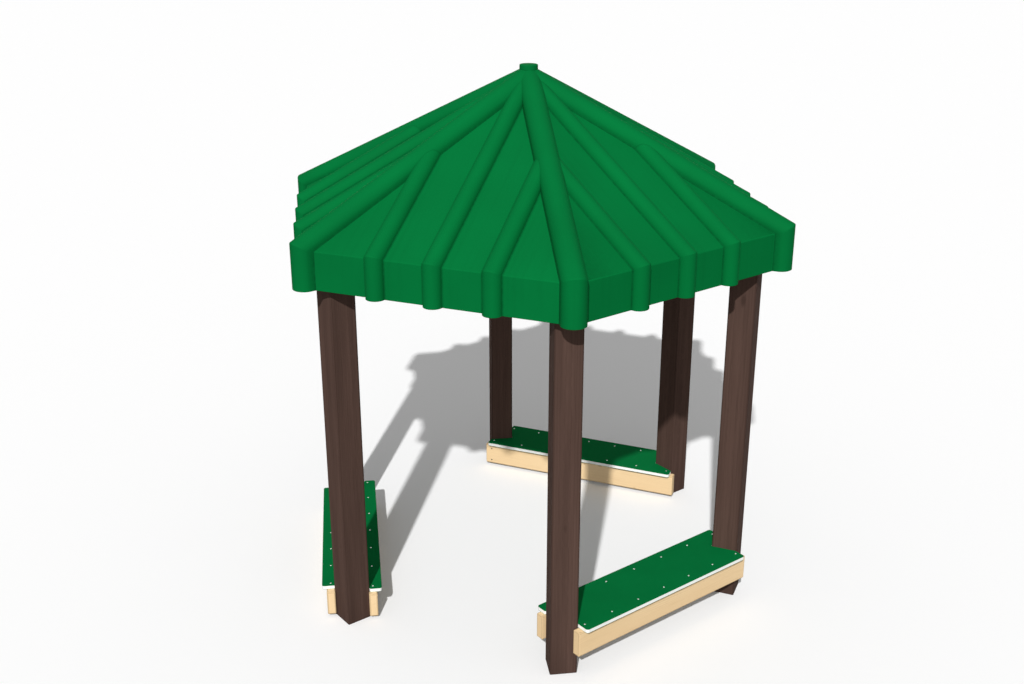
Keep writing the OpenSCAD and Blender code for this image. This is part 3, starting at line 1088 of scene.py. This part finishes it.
def make_board_screws(bench):
    """Two rows of seven bright screws through a seat board into the beams."""
    size = sizes()
    angle = BENCHES[bench]
    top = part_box(f"bench_{bench}_board")[1].z
    seats = []
    for box, pitch in ((OUTER_BEAM_BOX, size.outer_screw_pitch), (INNER_BEAM_BOX, size.inner_screw_pitch)):
        middle = -(box[0].x + box[1].x) / 2
        steps = range(-SCREWS_EACH_SIDE, SCREWS_EACH_SIDE + 1)
        seats += [place(angle, middle, pitch * step, top) for step in steps]
    colour = colours().screw_steel
    steel = material(screw_metal, "screw_bright_steel", colour=colour, metallic=0.85, roughness=0.38)
    join_screws(f"bench_{bench}_board_screws", seats, Vector((0, 0, 1)), place(angle, 0.0, 1.0, 0.0), steel)


def make_beam_screws():
    """Two dark screws at the left end of the back right bench's inner beam."""
    angle = BENCHES["back_right"]
    face = -INNER_BEAM_BOX[1].x
    seats = [place(angle, face, BEAM_SCREW_ALONG, height) for height in BEAM_SCREW_HEIGHTS]
    colour = colours().screw_dark
    dark = material(screw_metal, "screw_dark_steel", colour=colour, metallic=0.6, roughness=0.45)
    inward = place(angle, -1.0, 0.0, 0.0)
    join_screws("bench_back_right_beam_screws", seats, inward, place(angle, 0.0, 1.0, 0.0), dark)


def floor_finish():
    """Plain pale floor that looks white where it is lit and keeps the gazebo's shadow."""
    white = colours().floor_white
    floor = Finish(bpy.data.materials.new("stage_floor"))
    floor.nodes.remove(floor.nodes["Principled BSDF"])
    pale = floor.add("BsdfDiffuse", {"Color": shade(white, 1.0)}).outputs[0]
    lift = floor.add("Emission", {"Color": WHITE, "Strength": FLOOR_LIFT}).outputs[0]
    shown = floor.add("AddShader", {0: pale, 1: lift}).outputs[0]
    unseen = floor.add("BsdfDiffuse", {"Color": shade(white, FLOOR_BOUNCE)}).outputs[0]
    floor.show_to_camera(shown, unseen, "Material Output")
    return floor.block


def make_floor():
    """Wide flat floor under the posts."""
    corners = [(-1, -1), (1, -1), (1, 1), (-1, 1)]
    mesh = bpy.data.meshes.new("stage_floor")
    mesh.from_pydata([(FLOOR_HALF * x, FLOOR_HALF * y, 0) for x, y in corners], [], [range(len(corners))])
    mesh.materials.append(floor_finish())
    floor = bpy.data.objects.new("stage_floor", mesh)
    bpy.context.scene.collection.objects.link(floor)


def make_lamp(name, energy, angle, direction):
    """Makes a distant lamp that shines along a direction, and returns its light."""
    light = bpy.data.lights.new(name, "SUN")
    light.energy = energy
    light.angle = math.radians(angle)
    lamp = bpy.data.objects.new(name, light)
    lamp.rotation_mode = "QUATERNION"
    lamp.rotation_quaternion = Vector(direction).to_track_quat("-Z", "Y")
    bpy.context.scene.collection.objects.link(lamp)
    return light


def make_light():
    """A key lamp from the front left, a weak fill beside the camera and an even sky that looks white."""
    make_lamp("stage_key", energy=3.1, angle=1.2, direction=(0.2265, 0.741, -0.632))
    fill = make_lamp("stage_fill", energy=0.75, angle=40.0, direction=(0.1264, 0.925, -0.358))
    fill.use_shadow = False
    sky = Finish(bpy.data.worlds.new("stage_sky"))
    even = sky.nodes["Background"]
    sky.put(even.inputs["Color"], WHITE)
    sky.put(even.inputs["Strength"], SKY_LEVEL)
    white = sky.add("Background", {"Color": WHITE, "Strength": 1.0}).outputs[0]
    sky.show_to_camera(white, even.outputs[0], "World Output")
    bpy.context.scene.world = sky.block


def make_camera():
    """Camera at the photograph's place, turn and lens."""
    lens = bpy.data.cameras.new("stage_camera")
    lens.lens = 42.375
    lens.sensor_width = 36.0
    lens.sensor_fit = "HORIZONTAL"
    lens.clip_end = 300.0
    camera = bpy.data.objects.new("stage_camera", lens)
    camera.location = (-0.81959, -5.43722, 3.24361)
    camera.rotation_euler = (math.pi / 2 - 0.3658, 0.0, -0.13597)
    bpy.context.scene.collection.objects.link(camera)
    bpy.context.scene.camera = camera


class GAZEBO_OT_posts(bpy.types.Operator):
    """Makes the six posts"""

    bl_idname = "gazebo.posts"
    bl_label = "Posts"

    def execute(self, context):
        for number, (name, angle) in enumerate(CORNERS.items()):
            make_post(name, angle, number)
        return {"FINISHED"}


class GAZEBO_OT_beams(bpy.types.Operator):
    """Makes the outer and inner beams of the three benches"""

    bl_idname = "gazebo.beams"
    bl_label = "Bench beams"

    def execute(self, context):
        for number, bench in enumerate(BENCHES):
            make_beam(bench, "outer", 2 * number)
            make_beam(bench, "inner", 2 * number + 1)
        return {"FINISHED"}


class GAZEBO_OT_boards(bpy.types.Operator):
    """Makes the three seat boards"""

    bl_idname = "gazebo.boards"
    bl_label = "Seat boards"

    def execute(self, context):
        for number, bench in enumerate(BENCHES):
            make_board(bench, number)
        return {"FINISHED"}


class GAZEBO_OT_board_screws(bpy.types.Operator):
    """Makes the screws that hold the seat boards"""

    bl_idname = "gazebo.board_screws"
    bl_label = "Board screws"

    def execute(self, context):
        for bench in BENCHES:
            make_board_screws(bench)
        return {"FINISHED"}


class GAZEBO_OT_beam_screws(bpy.types.Operator):
    """Makes the two dark screws at a beam's end"""

    bl_idname = "gazebo.beam_screws"
    bl_label = "Beam screws"

    def execute(self, context):
        make_beam_screws()
        return {"FINISHED"}


class GAZEBO_OT_roof_panels(bpy.types.Operator):
    """Makes the six ribbed roof panels"""

    bl_idname = "gazebo.roof_panels"
    bl_label = "Roof panels"

    def execute(self, context):
        for number, (name, angle) in enumerate(PANELS.items()):
            make_roof_panel(name, angle, number)
        return {"FINISHED"}


class GAZEBO_OT_hip_ribs(bpy.types.Operator):
    """Makes the six ribs that cover the hips"""

    bl_idname = "gazebo.hip_ribs"
    bl_label = "Hip ribs"

    def execute(self, context):
        for number, (name, angle) in enumerate(CORNERS.items()):
            make_hip_rib(name, angle, len(PANELS) + number)
        return {"FINISHED"}


class GAZEBO_OT_cap(bpy.types.Operator):
    """Makes the round cap at the top of the roof"""

    bl_idname = "gazebo.cap"
    bl_label = "Cap"

    def execute(self, context):
        make_cap()
        return {"FINISHED"}


class GAZEBO_OT_stage(bpy.types.Operator):
    """Makes the floor, the light and the camera"""

    bl_idname = "gazebo.stage"
    bl_label = "Stage"

    def execute(self, context):
        context.scene.view_settings.view_transform = "Standard"
        make_floor()
        make_light()
        make_camera()
        return {"FINISHED"}


class GAZEBO_PT_panel(bpy.types.Panel):
    """Lists the gazebo's operators, sizes and colours"""

    bl_idname = "GAZEBO_PT_panel"
    bl_label = "Garden gazebo"
    bl_space_type = "VIEW_3D"
    bl_region_type = "UI"
    bl_category = "Gazebo"

    def draw(self, context):
        column = self.layout.column(align=True)
        for operator in OPERATORS:
            column.operator(operator.bl_idname)
        for group in (context.scene.gazebo_sizes, context.scene.gazebo_colours):
            box = self.layout.box().column(align=True)
            for name in group.__annotations__:
                box.prop(group, name)


OPERATORS = (
    GAZEBO_OT_posts,
    GAZEBO_OT_beams,
    GAZEBO_OT_boards,
    GAZEBO_OT_board_screws,
    GAZEBO_OT_beam_screws,
    GAZEBO_OT_roof_panels,
    GAZEBO_OT_hip_ribs,
    GAZEBO_OT_cap,
    GAZEBO_OT_stage,
)
CLASSES = (GazeboSizes, GazeboColours, *OPERATORS, GAZEBO_PT_panel)


def register():
    """Registers the classes and hangs the sizes and colours on the scene."""
    for kind in CLASSES:
        bpy.utils.register_class(kind)
    bpy.types.Scene.gazebo_sizes = PointerProperty(type=GazeboSizes)
    bpy.types.Scene.gazebo_colours = PointerProperty(type=GazeboColours)


def unregister():
    """Takes the sizes, the colours and the classes away again."""
    del bpy.types.Scene.gazebo_colours
    del bpy.types.Scene.gazebo_sizes
    for kind in reversed(CLASSES):
        bpy.utils.unregister_class(kind)


def main():
    """Makes every piece and the stage."""
    register()
    bpy.ops.gazebo.posts()
    bpy.ops.gazebo.beams()
    bpy.ops.gazebo.boards()
    bpy.ops.gazebo.board_screws()
    bpy.ops.gazebo.beam_screws()
    bpy.ops.gazebo.roof_panels()
    bpy.ops.gazebo.hip_ribs()
    bpy.ops.gazebo.cap()
    bpy.ops.gazebo.stage()


if __name__ == "__main__":
    main()
